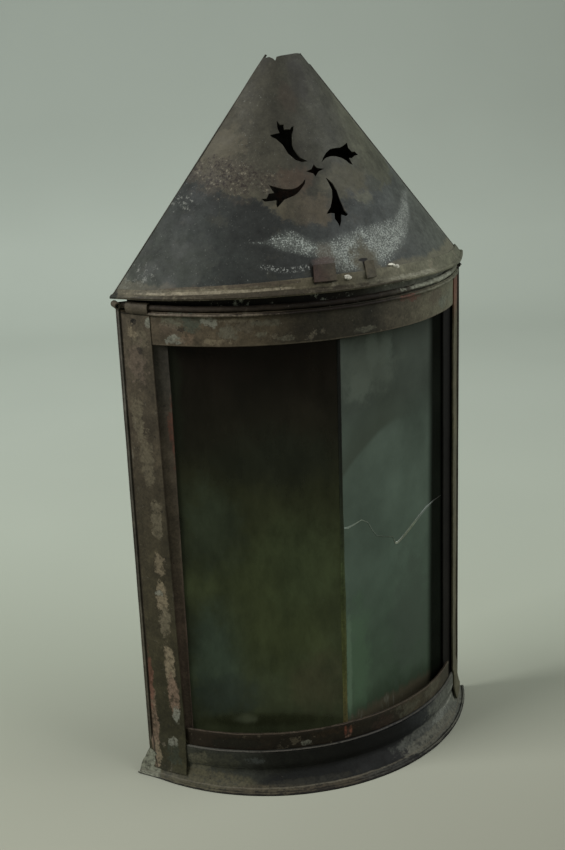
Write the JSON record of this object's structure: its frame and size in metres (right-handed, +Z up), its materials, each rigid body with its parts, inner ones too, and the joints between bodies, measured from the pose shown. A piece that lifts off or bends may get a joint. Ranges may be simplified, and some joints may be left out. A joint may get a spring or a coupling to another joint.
{
  "type": "candle lantern",
  "caption": "Half-round sheet-iron candle lantern with flat panes in a V behind a bowed frame, a pierced half-cone roof hinged at the flat back, a candle socket and a back handle.",
  "frame": {"origin": "on the flat underside of the floor plate, straight below the candle's axis", "axes": "+Z up along the candle and the lantern's height, +Y towards the flat back, +X to the right when facing the panes"},
  "size_m": [0.1978, 0.0943, 0.3645],
  "materials": {
    "painted_sheet": "worn old paint over sheet iron, olive-brown, with tan bare patches",
    "painted_roof": "worn slate-grey paint with a white bloom of corrosion",
    "bare_sheet": "dull, lightly rusted tinned sheet",
    "iron_wire": "dull iron wire",
    "old_glass": "old greenish glass, smoked and dusty"
  },
  "bodies": {
    "body": {"floor_plate": "bare_sheet", "foot_rim": "painted_sheet", "bottom_band": "painted_sheet", "back_plate": "painted_sheet", "left_stile": "painted_sheet", "right_stile": "painted_sheet", "top_band": "painted_sheet", "top_rim": "painted_sheet", "roof_collar": "bare_sheet", "bottom_gallery": "bare_sheet", "top_gallery": "bare_sheet", "left_glass_channel": "bare_sheet", "right_glass_channel": "bare_sheet", "left_pane": "old_glass", "right_pane": "old_glass", "pane_joint_strip": "bare_sheet", "drip_pan": "bare_sheet", "candle_socket": "bare_sheet", "back_handle": "painted_sheet", "left_lower_leaf": "painted_sheet", "right_lower_leaf": "painted_sheet", "left_hinge_pin": "iron_wire", "right_hinge_pin": "iron_wire"},
    "roof": {"roof_cone": "painted_roof", "eave_flange": "painted_sheet", "roof_back": "painted_roof", "left_front_tab": "bare_sheet", "right_front_tab": "bare_sheet", "left_upper_leaf": "painted_sheet", "right_upper_leaf": "painted_sheet"}
  },
  "joints": [
    {"name": "roof_hinge", "type": "hinge", "parent": "body", "child": "roof", "pos_m": [0, 0.0242, 0.2574], "axis": [-1, 0, 0], "range_deg": [0, 100]}
  ]
}
